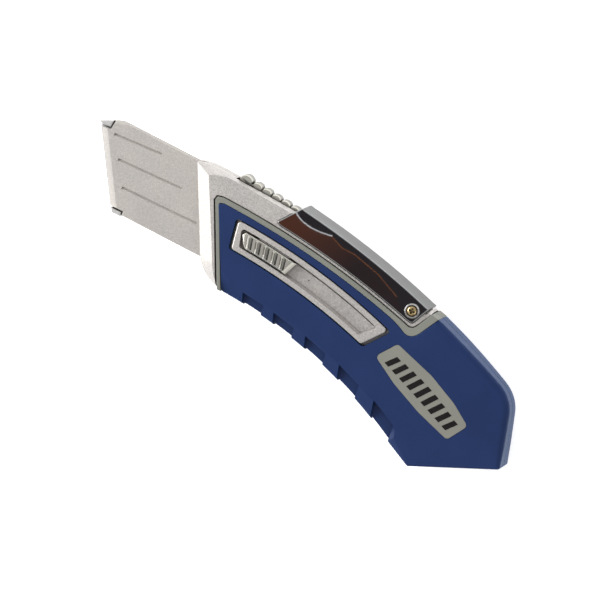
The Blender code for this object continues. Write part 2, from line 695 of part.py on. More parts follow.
def holder():
    cheek("holder_near", NEAR)
    far = cheek("holder_far", FAR)
    join(far, slab("side_lug", oblong((-29.6, 14.0), 1.0, 0.8), CHEEK[0] + 0.3, 3.2, FAR))
    corner_lug("corner_lug_upper", [FRONT_TIP, (-72.9, 20.0), (-73.1, 17.6), (-75.9, 17.15)])
    corner_lug("corner_lug_lower", [(-62.2, -4.0), (-58.7, -3.8), (-58.6, -4.8), (-61.6, -4.8)])
    edge = [(-76.1, 16.7), (-72.4, 17.0), (-72.1, 19.8), (-39.0, 19.8), (-31.0, 16.6), (-16.5, 12.6),
            (-16.5, 0.6), (-22.0, -1.0), (-27.5, -3.6), (-58.2, -4.4), (-58.0, -3.3), (-62.9, -3.5)]
    blade = slab("blade", edge, -BLADE_HALF, BLADE_HALF, NEAR, STEEL)
    for i, centre in enumerate(RIVETS):
        cut(blade, peg(f"blade_hole_{i}", centre, RIVET_HOLE, -3.0, 3.0, NEAR, sides=16))
        rivet = [(0.0, CHEEK[1]), (1.0, CHEEK[1]), (1.0, -CHEEK[1]), (0.0, -CHEEK[1])]
        turned(f"holder_rivet_{i + 1}", centre, rivet, NEAR, STEEL, 16)


def build():
    build_handle()
    for i, centre in enumerate(SCREWS):
        housing_screw(f"housing_screw_{i + 1}", centre)
    cover_fastening()
    back_cover()
    lever_spring()
    holder()
    rails = pivot_empty("rail_axis", RAIL_CENTRE)
    held = ("holder_near", "holder_far", "blade", "corner_lug_upper", "corner_lug_lower",
            "holder_rivet_1", "holder_rivet_2")
    hang(rails, *[bpy.data.objects[n] for n in held])
    track_axis = pivot_empty("track_axis", TRACK_CENTRE)
    hang(track_axis, carriage(), button_spring(), button())
    lever_axis = pivot_empty("lever_axis", PIVOT)
    hang(lever_axis, release_lever())


for old in list(bpy.data.objects):
    bpy.data.objects.remove(old, do_unlink=True)
KNIFE = collection("utility_knife")
CUTTERS = collection("cutters")
TRAY = tray_outline(TRACK_OUTER, 1.25, 16.95, 0.8)
RECESS = tray_outline(TRACK_INNER, 1.8, 16.3, 0.8)
build()
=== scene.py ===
"""Looks for the curved utility knife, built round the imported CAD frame.

Lengths are in millimetres and turned into metres by the builders. Heights called h are measured
from the knife's mid plane; side +1 is the near half, side -1 the far half. Outlines run the way
the CAD part's own outlines do, with finer arcs and rounded rims.
"""
import math

import bmesh
import bpy
from mathutils import Matrix, Vector

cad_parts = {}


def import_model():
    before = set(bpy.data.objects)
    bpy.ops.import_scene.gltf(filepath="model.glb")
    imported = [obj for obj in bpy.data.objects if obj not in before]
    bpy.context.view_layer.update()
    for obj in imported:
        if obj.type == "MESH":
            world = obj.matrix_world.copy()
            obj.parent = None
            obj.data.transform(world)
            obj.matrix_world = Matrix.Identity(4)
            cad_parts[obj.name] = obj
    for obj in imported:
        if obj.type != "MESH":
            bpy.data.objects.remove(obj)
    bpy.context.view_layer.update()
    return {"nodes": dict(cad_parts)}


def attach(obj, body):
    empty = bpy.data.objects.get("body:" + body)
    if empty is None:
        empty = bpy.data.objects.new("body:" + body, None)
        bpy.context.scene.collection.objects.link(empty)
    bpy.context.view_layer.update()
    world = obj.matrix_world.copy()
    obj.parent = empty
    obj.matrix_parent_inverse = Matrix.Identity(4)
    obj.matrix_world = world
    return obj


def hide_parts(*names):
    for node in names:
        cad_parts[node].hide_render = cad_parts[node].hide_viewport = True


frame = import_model()

MM = 0.001
NEAR = 1
FAR = -1
MID = 8.5                    # height of the mid plane over the rest face
SPLIT = 0.15                 # each half stays this far off the mid plane
GAP = 0.3                    # gap between separate pieces
CLEAR = 12.0                 # cutters that come out of a face go up to this height

# heights from the mid plane
GRIP_FACE = 8.5
BORDER_FACE = 8.4
NOSE_FACE = 7.7
NOSE_SHOULDER = 4.6          # where the nose chamfers start
CORE_FACE = 6.1
COVER_FACE = 8.1
COVER_WALL = 1.0
UNDER_COVER = 6.8
CHEEK = (0.5, 1.6)
HOLDER_ROOM = 1.9
TRACK_FLOOR = (5.7, 6.5)
BUTTON = (7.8, 9.2)
LEVER_HALF = 3.0             # the release lever spans this on both sides of the mid plane

# arcs: centre and radius in the XY plane
BELLY = ((-24.5, -159.3), 149.1)
BACK = ((-38.0, -245.3), 270.0)
COVER_EDGE = ((-33.7, -255.3), 271.7)
BORDER_EDGE = ((-34.1, -256.7), 272.0)
BORDER_WIDTH = 1.5
TRACK_CENTRE = (-29.5, -193.5)
TRACK_OUTER = (196.2, 205.0)
TRACK_INNER = (197.8, 203.4)
POCKET = (195.9, 205.3)       # room for the track in the near half and its rubber
TRACK_SLOT = (202.6, 203.35)  # narrow slot for the carriage's neck
BUTTON_BAND = (198.3, 202.9)
PIVOT = (33.9, 11.15)        # cover screw and lever pivot
PIVOT_BORE = 1.9             # bore round the barrel nut
SCREWS = ((9.0, 14.95), (36.0, -14.6), (68.0, -8.0))
SCREW_SEAT = 2.2             # radius of a housing screw's seat
SCREW_FLOOR = 4.6            # and the height of its floor
RIVETS = ((-34.0, 14.0), (-24.0, 2.2))
RIVET_HOLE = 1.3

NOTCH_FACE = 7.0             # face of the finger notches, as a height over the mid plane
NOTCH_STARTS = (-12.6, -1.6, 10.1, 23.1, 37.2)   # x where each notch's floor starts
NOTCH_LENGTHS = (6.3, 6.6, 6.9, 7.1, 7.7)        # and its length along x
NOTCH_DEPTH = 3.1            # from the belly line up the side face
NOTCH_LEAN = -1.6            # how far the notch's front side leans towards the nose
FLOOR_DEPTH = 0.55           # how far the notch's floor lies inside the belly line
GROOVE_DEPTH = 0.55
GROOVES = (((-70.6, 16.2), (-55.9, 17.3)), ((-66.2, 9.9), (-45.9, 10.8)), ((-61.4, 2.8), (-37.2, 3.5)))


# ---- points ----
def on_arc(arc, x, inset=0.0):
    """Point of an arc at x; a positive inset moves it towards the body's inside (upwards)."""
    (cx, cy), radius = arc
    radius += inset
    return (x, cy + math.sqrt(radius ** 2 - (x - cx) ** 2))


def along(arc, x0, x1, steps, inset=0.0):
    """Points along an arc from x0 to x1."""
    return [on_arc(arc, x0 + (x1 - x0) * i / steps, inset) for i in range(steps + 1)]


def polar(centre, radius, degrees):
    """Point at an angle from straight up, clockwise, round a centre."""
    angle = math.radians(degrees)
    return (centre[0] + radius * math.sin(angle), centre[1] + radius * math.cos(angle))


def track_run(radius, start, end, steps):
    """Points along the track's arc."""
    return [polar(TRACK_CENTRE, radius, start + (end - start) * i / steps) for i in range(steps + 1)]


def curve(start, pull, end, steps):
    """Quadratic curve from start to end, drawn towards the pull point."""
    points = []
    for i in range(steps + 1):
        t = i / steps
        a, b, c = (1 - t) ** 2, 2 * t * (1 - t), t ** 2
        x = a * start[0] + b * pull[0] + c * end[0]
        y = a * start[1] + b * pull[1] + c * end[1]
        points.append((x, y))
    return points


def circle(centre, radius, sides=48):
    """Outline of a circle."""
    return [polar(centre, radius, -360.0 * i / sides) for i in range(sides)]


def oblong(centre, half_x, half_y):
    """Outline of a rectangle round a centre."""
    x, y = centre
    return [(x - half_x, y - half_y), (x + half_x, y - half_y),
            (x + half_x, y + half_y), (x - half_x, y + half_y)]


def fillet(before, here, after, radius, steps):
    """Points of a corner's round."""
    here = Vector(here)
    back = Vector(before) - here
    ahead = Vector(after) - here
    half = back.angle(ahead) / 2
    reach = min(radius / math.tan(half), back.length * 0.48, ahead.length * 0.48)
    radius = reach * math.tan(half)
    middle = here + (back.normalized() + ahead.normalized()).normalized() * (radius / math.sin(half))
    start = here + back.normalized() * reach - middle
    end = here + ahead.normalized() * reach - middle
    turn = start.angle_signed(end)
    spots = [middle + Matrix.Rotation(-turn * k / steps, 2) @ start for k in range(steps + 1)]
    return [(spot.x, spot.y) for spot in spots]


def trace(*runs, steps=6):
    """Closed outline from (kind, points) runs; a third number in a point rounds that corner.

    Returns the points and, for each, the kind of the side that starts there.
    """
    flat = [(point, kind) for kind, points in runs for point in points]
    outline = []
    kinds = []
    for i, (point, kind) in enumerate(flat):
        if len(point) > 2 and point[2] > 0.0:
            before = flat[i - 1][0][:2]
            after = flat[(i + 1) % len(flat)][0][:2]
            spots = fillet(before, point[:2], after, point[2], steps)
        else:
            spots = [point[:2]]
        outline.extend(spots)
        kinds.extend([kind] * len(spots))
    return outline, kinds


# ---- rims: pairs of (inset, drop below the top face), from the wall to the face ----
def round_rim(width, depth, steps=5):
    """Elliptical round."""
    turns = [math.pi / 2 * k / steps for k in range(steps + 1)]
    return [(width * (1 - math.cos(t)), depth * (1 - math.sin(t))) for t in turns]


def flat_rim(width, depth, steps=5, soft=0.12):
    """Flat chamfer with slightly softened edges."""
    first = [(0.0, depth + soft), (soft * 0.3, depth)]
    last = [(width - soft * 0.5, soft * 0.3), (width + soft, 0.0)]
    share = [(k + 1) / (steps - 2) for k in range(steps - 3)]
    return first + [(width * s, depth * (1 - s)) for s in share] + last


def inside_sign(outline):
    """+1 if the outline's inside lies to the left of its sides, else -1."""
    area = sum(a[0] * b[1] - b[0] * a[1] for a, b in zip(outline, outline[1:] + outline[:1]))
    return 1.0 if area > 0 else -1.0


def inset(outline, amounts):
    """Outline with each side moved inwards by its own amount."""
    turn = inside_sign(outline)
    count = len(outline)
    normals = []
    for i in range(count):
        side = Vector(outline[(i + 1) % count]) - Vector(outline[i])
        side.normalize()
        normals.append(Vector((-side.y, side.x)) * turn)
    moved = []
    for i in range(count):
        a, b = normals[i - 1], normals[i]
        da, db = amounts[i - 1], amounts[i]
        cross = a.x * b.y - a.y * b.x
        if abs(cross) < 0.12:
            shift = (a + b) / 2 * ((da + db) / 2)
        else:
            shift = Vector(((da * b.y - db * a.y) / cross, (db * a.x - da * b.x) / cross))
        moved.append((outline[i][0] + shift.x, outline[i][1] + shift.y))
    return moved


def rim_rings(outline, kinds, rims, top):
    """Rings from the wall's top edge to the face, each side with its own rim."""
    steps = len(next(iter(rims.values())))
    rings = []
    for k in range(steps):
        amounts = [rims[kind][k][0] for kind in kinds]
        drops = [rims[kind][k][1] for kind in kinds]
        spots = inset(outline, amounts)
        heights = [top - (drops[i - 1] + drops[i]) / 2 for i in range(len(outline))]
        rings.append([(x, y, h) for (x, y), h in zip(spots, heights)])
    return rings


# ---- solids ----
def level(side, h):
    """Z of a height above the mid plane on one side."""
    return (MID + side * h) * MM


def link(name, mesh):
    """Object with a mesh, in the scene."""
    piece = bpy.data.objects.new(name, mesh)
    bpy.context.scene.collection.objects.link(piece)
    return piece


def loft(name, rings, side=NEAR):
    """Closed solid through rings of (x, y, h) points, capped at both ends."""
    shape = bmesh.new()
    made = [[shape.verts.new((x * MM, y * MM, level(side, h))) for x, y, h in ring] for ring in rings]
    shape.faces.new(made[0])
    shape.faces.new(made[-1])
    count = len(made[0])
    for lower, upper in zip(made, made[1:]):
        for i in range(count):
            j = (i + 1) % count
            shape.faces.new((lower[i], lower[j], upper[j], upper[i]))
    bmesh.ops.recalc_face_normals(shape, faces=shape.faces)
    if shape.calc_volume(signed=True) < 0.0:
        bmesh.ops.reverse_faces(shape, faces=shape.faces)
    mesh = bpy.data.meshes.new(name)
    shape.to_mesh(mesh)
    shape.free()
    return link(name, mesh)


def lay(outline, h):
    """Outline at one height."""
    return [(x, y, h) for x, y in outline]


def slab(name, outline, low, high, side=NEAR):
    """Plain flat solid, mostly a cutter."""
    return loft(name, [lay(outline, low), lay(outline, high)], side)


def half(name, path, rims, low, top, side=NEAR):
    """Solid with a flat underside and a shaped rim round its top face."""
    outline, kinds = path
    return loft(name, [lay(outline, low)] + rim_rings(outline, kinds, rims, top), side)


def both(name, path, rims, top):
    """Solid with the same shaped rim on both faces."""
    upper = rim_rings(*path, rims, top)
    lower = [[(x, y, -h) for x, y, h in ring] for ring in reversed(upper)]
    return loft(name, lower + upper)


def evaluate(piece):
    """Apply a piece's modifiers to its mesh."""
    bpy.context.view_layer.update()
    mesh = bpy.data.meshes.new_from_object(piece.evaluated_get(bpy.context.evaluated_depsgraph_get()))
    piece.modifiers.clear()
    piece.data = mesh
    return piece


def combine(piece, cutters, operation):
    """Cut or join other solids, which are used up."""
    for other in cutters:
        step = piece.modifiers.new("shape", "BOOLEAN")
        step.object = other
        step.operation = operation
        step.solver = "EXACT"
    evaluate(piece)
    for other in cutters:
        bpy.data.objects.remove(other, do_unlink=True)
    return piece


def carve(piece, *cutters):
    return combine(piece, cutters, "DIFFERENCE")


def weld(piece, *others):
    return combine(piece, others, "UNION")


def turned(name, centre, profile, side=NEAR, sides=48):
    """Solid of revolution on an axis along Z; profile is (radius, h) from its top to its bottom."""
    rings = []
    for radius, h in profile:
        rings.append([(x, y, h) for x, y in circle(centre, max(radius, 0.02), sides)])
    return loft(name, rings, side)


def finish(piece, body, material, nodes=(), bevel=0.0, angle=32, segments=2):
    """Shade a piece, soften its edges, and tie it to the frame."""
    if bevel > 0.0:
        step = piece.modifiers.new("soften", "BEVEL")
        step.limit_method = "ANGLE"
        step.angle_limit = math.radians(angle)
        step.width = bevel * MM
        step.segments = segments
        step.use_clamp_overlap = True
        evaluate(piece)
    shape = bmesh.new()
    shape.from_mesh(piece.data)
    bmesh.ops.remove_doubles(shape, verts=shape.verts, dist=0.000004)
    bmesh.ops.dissolve_degenerate(shape, edges=shape.edges, dist=0.000002)
    shape.to_mesh(piece.data)
    shape.free()
    piece.data.shade_smooth()
    piece.data.set_sharp_from_angle(angle=math.radians(25))
    keep = piece.modifiers.new("flat_faces", "WEIGHTED_NORMAL")
    keep.keep_sharp = True
    keep.weight = 80
    piece.data.materials.clear()
    piece.data.materials.append(material)
    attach(piece, body)
    if nodes:
        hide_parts(*nodes)
    return piece


# ---- materials ----
class Paint:
    """Small helper that wires a Principled material from noise."""

    def __init__(self, name, roughness, metallic=0.0, specular=0.5):
        self.material = bpy.data.materials.new(name)
        self.material.use_nodes = True
        self.tree = self.material.node_tree
        self.shader = self.tree.nodes["Principled BSDF"]
        self.set("Roughness", roughness)
        self.set("Metallic", metallic)
        self.set("Specular IOR Level", specular)
        self.place = self.tree.nodes.new("ShaderNodeTexCoord").outputs["Object"]

    def set(self, socket, value):
        self.shader.inputs[socket].default_value = value

    def wire(self, output, socket):
        self.tree.links.new(output, self.shader.inputs[socket])

    def noise(self, scale, detail=2.0, rough=0.5, stretch=None):
        """Noise over the object's own coordinates; scale is in waves a metre."""
        place = self.place
        if stretch:
            mapping = self.tree.nodes.new("ShaderNodeMapping")
            mapping.inputs["Scale"].default_value = stretch[0]
            mapping.inputs["Rotation"].default_value = (0.0, 0.0, math.radians(stretch[1]))
            self.tree.links.new(place, mapping.inputs["Vector"])
            place = mapping.outputs["Vector"]
        node = self.tree.nodes.new("ShaderNodeTexNoise")
        node.inputs["Scale"].default_value = scale
        node.inputs["Detail"].default_value = detail
        node.inputs["Roughness"].default_value = rough
        self.tree.links.new(place, node.inputs["Vector"])
        return node.outputs["Fac"]

    def ramp(self, source, *stops):
        """Colours over a value; a stop is (position, colour)."""
        node = self.tree.nodes.new("ShaderNodeValToRGB")
        ramp = node.color_ramp
        while len(ramp.elements) < len(stops):
            ramp.elements.new(0.5)
        for element, (position, colour) in zip(ramp.elements, stops):
            element.position = position
            element.color = (*colour, 1.0)
        self.tree.links.new(source, node.inputs["Fac"])
        return node.outputs["Color"]

    def spread(self, source, low, high, start=0.3, end=0.7):
        """Map a noise value to a range."""
        node = self.tree.nodes.new("ShaderNodeMapRange")
        for socket, value in (("From Min", start), ("From Max", end), ("To Min", low), ("To Max", high)):
            node.inputs[socket].default_value = value
        self.tree.links.new(source, node.inputs["Value"])
        return node.outputs["Result"]

    def mix(self, first, second, share, kind="MIX"):
        node = self.tree.nodes.new("ShaderNodeMix")
        node.data_type = "RGBA"
        node.blend_type = kind
        node.inputs["Factor"].default_value = share
        self.tree.links.new(first, node.inputs[6])
        self.tree.links.new(second, node.inputs[7])
        return node.outputs[2]

    def corners(self, colour, reach, dark):
        """Painted shade: darken a colour in narrow gaps and valleys, from ambient occlusion."""
        node = self.tree.nodes.new("ShaderNodeAmbientOcclusion")
        node.inputs["Distance"].default_value = reach * MM
        shade = self.ramp(node.outputs["AO"], (0.45, (dark, dark, dark)), (0.95, (1.0, 1.0, 1.0)))
        return self.mix(colour, shade, 1.0, "MULTIPLY")

    def bump(self, source, strength, distance):
        node = self.tree.nodes.new("ShaderNodeBump")
        node.inputs["Strength"].default_value = strength
        node.inputs["Distance"].default_value = distance * MM
        self.tree.links.new(source, node.inputs["Height"])
        self.wire(node.outputs["Normal"], "Normal")


def silver_paint(name, low, high, grain, metallic, roughness, painted_corner_shade):
    """Metallic paint: sparkle in the colour, a little orange peel in the bump."""
    paint = Paint(name, roughness, metallic)
    sparkle = paint.noise(grain, 3.0, 0.7)
    cloud = paint.noise(90.0, 2.0)
    between = tuple((a + b) / 2 for a, b in zip(low, high))
    colour = paint.ramp(sparkle, (0.32, low), (0.52, between), (0.7, high))
    tint = paint.ramp(cloud, (0.3, (0.93, 0.93, 0.94)), (0.7, (1.0, 0.995, 0.985)))
    # painted shade: the colour is darkened in gaps and hollows by ambient occlusion
    paint.wire(paint.corners(paint.mix(colour, tint, 1.0, "MULTIPLY"), *painted_corner_shade), "Base Color")
    paint.wire(paint.spread(sparkle, roughness - 0.07, roughness + 0.07), "Roughness")
    paint.bump(sparkle, 0.35, 0.02)
    return paint.material


def rubber(name, low, high, sheen, roughness, sheen_weight):
    """Moulded rubber: fine grain, faint mottling, lighter where it turns away."""
    paint = Paint(name, roughness, 0.0, 0.25)
    cloud = paint.noise(60.0, 4.0, 0.6)
    grain = paint.noise(2600.0, 2.0)
    colour = paint.ramp(cloud, (0.3, low), (0.7, high))
    paint.wire(colour, "Base Color")
    paint.wire(paint.spread(grain, roughness - 0.06, roughness + 0.08), "Roughness")
    paint.set("Sheen Weight", sheen_weight)
    paint.set("Sheen Roughness", 0.45)
    paint.set("Sheen Tint", (*sheen, 1.0))
    paint.bump(grain, 0.25, 0.012)
    return paint.material


def chrome(name, colour, roughness, smear, bump, edge=1.0, painted_corner_shade=None):
    """Plated metal: smears in the gloss and hairline scratches; edge dims it at flat angles."""
    paint = Paint(name, roughness, 1.0)
    paint.set("Specular Tint", (edge, edge, edge, 1.0))
    cloud = paint.noise(110.0, 3.0, 0.6)
    hair = paint.noise(700.0, 2.0, 0.5, ((1.0, 14.0, 1.0), -6.0))
    darker = tuple(c * 0.9 for c in colour)
    tone = paint.ramp(cloud, (0.3, darker), (0.7, colour))
    # when the last argument is given, painted shade darkens the colour in gaps and valleys
    paint.wire(paint.corners(tone, *painted_corner_shade) if painted_corner_shade else tone, "Base Color")
    paint.wire(paint.spread(hair, roughness, roughness + smear), "Roughness")
    paint.bump(hair, bump, 0.004)
    return paint.material


def machined(name, colour, roughness, painted_corner_shade=None):
    """Bare or plated small parts: turning marks in the gloss."""
    paint = Paint(name, roughness, 1.0)
    grain = paint.noise(1500.0, 3.0, 0.6)
    darker = tuple(c * 0.75 for c in colour)
    tone = paint.ramp(grain, (0.3, darker), (0.7, colour))
    # when the last argument is given, painted shade darkens the colour in gaps and recesses
    paint.wire(paint.corners(tone, *painted_corner_shade) if painted_corner_shade else tone, "Base Color")
    paint.wire(paint.spread(grain, roughness - 0.08, roughness + 0.1), "Roughness")
    paint.bump(grain, 0.2, 0.01)
    return paint.material


def printed(name, colour):
    """Printed or moulded dark marks."""
    paint = Paint(name, 0.6, 0.0, 0.1)
    grain = paint.noise(900.0, 2.0)
    lighter = tuple(c * 1.5 for c in colour)
    paint.wire(paint.ramp(grain, (0.35, colour), (0.75, lighter)), "Base Color")
    return paint.material


# the last tuple of the silver paints, SATIN and BRASS is painted shade in gaps: (reach in mm, darkest
# factor)
SILVER = silver_paint("silver_paint", (0.38, 0.36, 0.34), (0.66, 0.63, 0.605), 2300.0, 0.5, 0.42,
                      (0.5, 0.15))
HOLDER = silver_paint("holder_paint", (0.39, 0.365, 0.34), (0.60, 0.57, 0.54), 3400.0, 0.45, 0.46,
                      (0.25, 0.7))
LUG = silver_paint("lug_paint", (0.50, 0.49, 0.48), (0.66, 0.65, 0.64), 3000.0, 0.5, 0.35, (0.6, 0.05))
BLUE = rubber("blue_rubber", (0.006, 0.020, 0.085), (0.008, 0.025, 0.100), (0.05, 0.4, 1.0), 0.5, 0.12)
GREY = rubber("grey_rubber", (0.185, 0.19, 0.165), (0.215, 0.22, 0.19), (0.8, 0.8, 0.75), 0.6, 0.05)
INLAY = rubber("badge_inlay", (0.205, 0.205, 0.178), (0.232, 0.232, 0.2), (0.8, 0.8, 0.75), 0.6, 0.05)
MARK = printed("badge_mark", (0.009, 0.008, 0.008))
MIRROR = chrome("mirror_chrome", (0.43, 0.435, 0.44), 0.01, 0.02, 0.03, 0.42)
SATIN = chrome("satin_chrome", (0.62, 0.605, 0.54), 0.1, 0.1, 0.15, 0.5, (1.3, 0.08))
STEEL = machined("steel", (0.62, 0.61, 0.6), 0.3)
BLADE = chrome("blade_steel", (0.6, 0.6, 0.61), 0.25, 0.15, 0.3)
BRASS = machined("screw_brass", (0.62, 0.47, 0.24), 0.22, (0.8, 0.08))


# ---- the housing ----
MOUTH = [(-44.4, 20.8)] + curve((-31.6, -3.1), (-28.7, -8.75), (-22.2, -10.05), 10)
BROW = [(-39.2, 19.2)] + curve((-27.4, -2.1), (-25.4, -6.9), (-22.0, -9.3), 10)
NOSE_TOP = [(-9.8, 20.9), (-20.0, 21.3)] + curve((-31.5, 21.55), (-40.0, 22.4), (-44.3, 20.9), 8)[:-1]
BROW_TOP = [(-9.8, 20.35), (-20.0, 20.85)] + curve((-30.0, 21.2), (-35.8, 21.6), (-39.1, 19.3), 8)[:-1]


def raised_outline(front, back, drop):
    """Nose, the strip under the cover and the frame behind it: the silver that stays uncovered."""
    left = [(-34.6, 13.5)] + curve((-34.5, 14.3), (-34.4, 15.4), (-33.4, 15.3), 3)
    strip = along(BORDER_EDGE, -32.3, 33.6, 24, 0.3)
    frame_run = curve((34.4, 6.84), (36.1, 6.3), (36.9, 7.9), 5)
    frame_run += [(39.5, 13.2 - drop), (38.6, 13.4 - drop)]
    under = along(BACK, 38.0, -8.4, 16, -1.3 - drop)
    return front + left + strip + frame_run + under + back


def core_outline():
    """Outline of the die-cast shell under the rubber; its front ends inside the raised nose."""
    front = [(-9.8, 19.5), (-30.0, 20.3), (-35.6, 19.0), (-35.6, 14.5), (-23.2, -8.6), (-22.4, -9.4)]
    belly = along(BELLY, -21.0, 45.5, 16, 2.3)
    tail = [(53.2, -28.6), (75.9, -18.3), (72.8, -6.0), (70.6, -0.6)]
    back = along(BACK, 66.0, 40.2, 6, -2.3)
    under = along(BACK, 39.0, -8.4, 16, -1.3)
    return front + belly + tail + back + under


def cover_path(grow=0.0):
    """Outline of the chrome cover's side wall, with small corner rounds."""
    front = [(-14.6 - grow, 16.1, 0.5), (-9.4 - grow, 23.3 + grow, 0.5)]
    back = along(BACK, -7.6, 37.2, 24, grow)
    rear = [(38.3 + grow, 13.9 + grow, 0.4), (35.5 + grow, 7.6 - grow, 1.2)]
    edge = along(COVER_EDGE, 33.6, -13.0, 24, -grow)
    return trace(("rim", front), ("rim", back), ("rim", rear), ("rim", edge))


# rooms inside the housing: for the blade holder, the lever, its hook and the holder's side lug
SWEEP = [(-50.0, 21.3), (-38.0, 21.35), (-9.2, 18.9), (-4.2, 16.6), (26.0, 6.9), (25.4, -4.8),
         (9.6, -6.4), (1.4, -9.1), (-30.5, -6.0), (-50.0, -5.1)]
LEVER_WELL = [(-31.9, 26.0), (-31.9, 19.6), (-11.0, 18.4), (-4.0, 17.2), (20.0, 13.2), (31.0, 8.0),
              (37.3, 8.0), (37.3, 26.0)]
HOOK_ROOM = [(-34.0, 21.3), (-34.0, 10.6), (-30.4, 10.6), (-30.4, 19.4), (-27.0, 19.4), (-27.0, 21.3)]
LUG_ROOM = [(-31.2, 15.6), (6.5, 13.4), (6.5, 8.4), (-31.2, 12.4)]
SEAM = [(-34.75, 13.6), (-22.3, -10.4), (-21.4, -10.4), (-33.8, 13.6)]   # between nose and border


def housing(side, name, node):
    """Die-cast half: a core under the rubber, and the silver that shows."""
    full = raised_outline(MOUTH, NOSE_TOP, 0.0)
    face = raised_outline(BROW, BROW_TOP, 0.6)
    raised = loft(name, [lay(full, SPLIT), lay(full, NOSE_SHOULDER), lay(face, NOSE_FACE)], side)
    carve(raised, slab("bed", cover_path(0.18)[0], UNDER_COVER, CLEAR, side))
    weld(raised, slab("core", core_outline(), SPLIT, CORE_FACE, side))
    rooms = [slab("blade_room", SWEEP, -1.0, HOLDER_ROOM, side),
             slab("well", LEVER_WELL, -0.5, LEVER_HALF + 0.4, side),
             slab("pivot", circle(PIVOT, PIVOT_BORE, 24), -1.0, CLEAR, side)]
    if side == NEAR:
        pocket = tray_path(POCKET, 1.0, 17.2, 0.8)[0]
        rooms.append(slab("pocket", pocket, TRACK_FLOOR[0] - GAP, CLEAR))
        rooms.append(slab("carriage_room", track_band((197.7, 203.6), 2.2, 17.4), 0.5, 4.0))
        rooms.append(slab("neck_slot", track_band(TRACK_SLOT, 3.1, 15.8), 0.0, CLEAR))
    else:
        rooms.append(slab("hook_room", HOOK_ROOM, 0.0, 5.0, side))
        rooms.append(slab("lug_room", LUG_ROOM, 0.0, 3.7, side))
        rooms.extend(slab("screw_seat", circle(spot, SCREW_SEAT, 24), SCREW_FLOOR, CLEAR, side)
                     for spot in SCREWS)
    rooms.append(slab("seam", SEAM, 3.5, CLEAR, side))
    carve(raised, *rooms)
    return finish(raised, "handle", SILVER, (node,), 0.16, 24)


# ---- the rubber ----
GRIP_RIMS = {
    "border": round_rim(0.25, 0.25),
    "back": round_rim(2.2, 1.5),
    "end": round_rim(0.45, 0.45),
    "belly": [(0.0, 1.9), (0.18, 1.35), (0.6, 1.0), (2.0, 0.62), (3.7, 0.08), (4.2, 0.0)],
}


def grip_path():
    """Outline of the blue rubber, seen from the side."""
    left = [(-20.3, -9.95), (-32.7, 13.0, 0.6)]
    top = along(BORDER_EDGE, -31.0, 29.0, 30, -BORDER_WIDTH)
    corner = curve(top[-1], (32.0, 5.5), (34.2, 4.36), 6)[1:]
    corner += curve((34.2, 4.36), (37.0, 2.95), (39.0, 6.0), 8)[1:] + [(42.3, 12.4)]
    back = along(BACK, 43.6, 66.4, 14)
    tail = curve(back[-1], (72.7, 1.3), (74.3, -4.8), 12)[1:]
    end = [(76.7, -12.2), (78.7, -19.2, 0.7)]
    low = [(53.4, -31.15, 0.9)]
    belly = along(BELLY, 45.2, -19.6, 40)
    return trace(("border", left + top + corner[:-1]), ("back", corner[-1:] + back + tail + end[:1]),
                 ("end", end[1:] + low), ("belly", belly))


def notch_outlines():
    """Side windows of the five finger notches, leaning forward like the mouth."""
    outlines = []
    for start, length in zip(NOTCH_STARTS, NOTCH_LENGTHS):
        top = NOTCH_DEPTH + 0.035 * max(start, 0.0)
        a = on_arc(BELLY, start, -1.5)
        b = on_arc(BELLY, start + length, -1.5)
        c = on_arc(BELLY, start + length + NOTCH_LEAN * 0.35, top)
        d = on_arc(BELLY, start + NOTCH_LEAN, top)
        outlines.append([a, b, c, d])
    return outlines


def floor_outlines():
    """Shallow cuts that give each notch its floor across the belly."""
    outlines = []
    for start, length in zip(NOTCH_STARTS, NOTCH_LENGTHS):
        outer = along(BELLY, start, start + length, 6, -2.0)
        inner = along(BELLY, start + length, start, 6, FLOOR_DEPTH)
        outlines.append(outer + inner)
    return outlines


BADGE_CORNERS = [(34.6, 0.4), (48.0, -3.45), (57.6, -7.7), (64.4, -12.0),
                 (60.5, -18.5), (49.1, -15.1), (38.8, -10.85), (30.1, -6.0)]
CREASE = ((62.0, -9.6), (79.6, -17.9))    # the tail's rear facet starts along this line
CREASE_SLOPE = 0.12
CREASE_BACK = (44.0, 6.0)    # extra edges run from the crease's start towards this point
CREASE_FADE = 18.0           # length over which the fold starts
BADGE_MIDDLE = (47.5, -8.6)
BADGE_REACH = 13.0           # from its middle to the far corners, roughly


def badge_path(grow=0.0):
    """Barrel-shaped inlay: two bulging long sides and two short ends."""
    a, top_1, top_2, b, c, low_1, low_2, d = BADGE_CORNERS
    middle = Vector(BADGE_MIDDLE)
    spots = [a, top_1, top_2, b, c, low_1, low_2, d]
    rounds = [1.3, 14.0, 14.0, 1.3, 1.3, 14.0, 14.0, 1.3]
    grown = []
    for (x, y), radius in zip(spots, rounds):
        spot = middle + (Vector((x, y)) - middle) * (1 + grow / BADGE_REACH)
        grown.append((spot.x, spot.y, radius))
    return trace(("rim", grown))


def facet_tail(piece, side):
    """Fold the tail's rear corner down a little along the crease."""
    shape = bmesh.new()
    shape.from_mesh(piece.data)
    start, end = Vector(CREASE[0]), Vector(CREASE[1])
    across = (end - start).normalized()
    away = Vector((-across.y, across.x))
    for share in (0.0, 0.35, 0.7, 1.0):
        spot = start + (Vector(CREASE_BACK) - start) * share
        facing = away if share == 0.0 else across
        bmesh.ops.bisect_plane(shape, geom=shape.verts[:] + shape.edges[:] + shape.faces[:],
                               plane_co=(spot.x * MM, spot.y * MM, 0.0),
                               plane_no=(facing.x, facing.y, 0.0))
    for vert in shape.verts:
        h = (vert.co.z / MM - MID) * side
        spot = Vector((vert.co.x, vert.co.y)) / MM - start
        beyond = spot.dot(away)
        if h > 4.0 and beyond > 0.0 and spot.x > -20.0:
            fade = min(1.0, max(0.0, (spot.dot(across) + CREASE_FADE) / CREASE_FADE))
            vert.co.z -= side * beyond * CREASE_SLOPE * fade * MM
    shape.to_mesh(piece.data)
    shape.free()


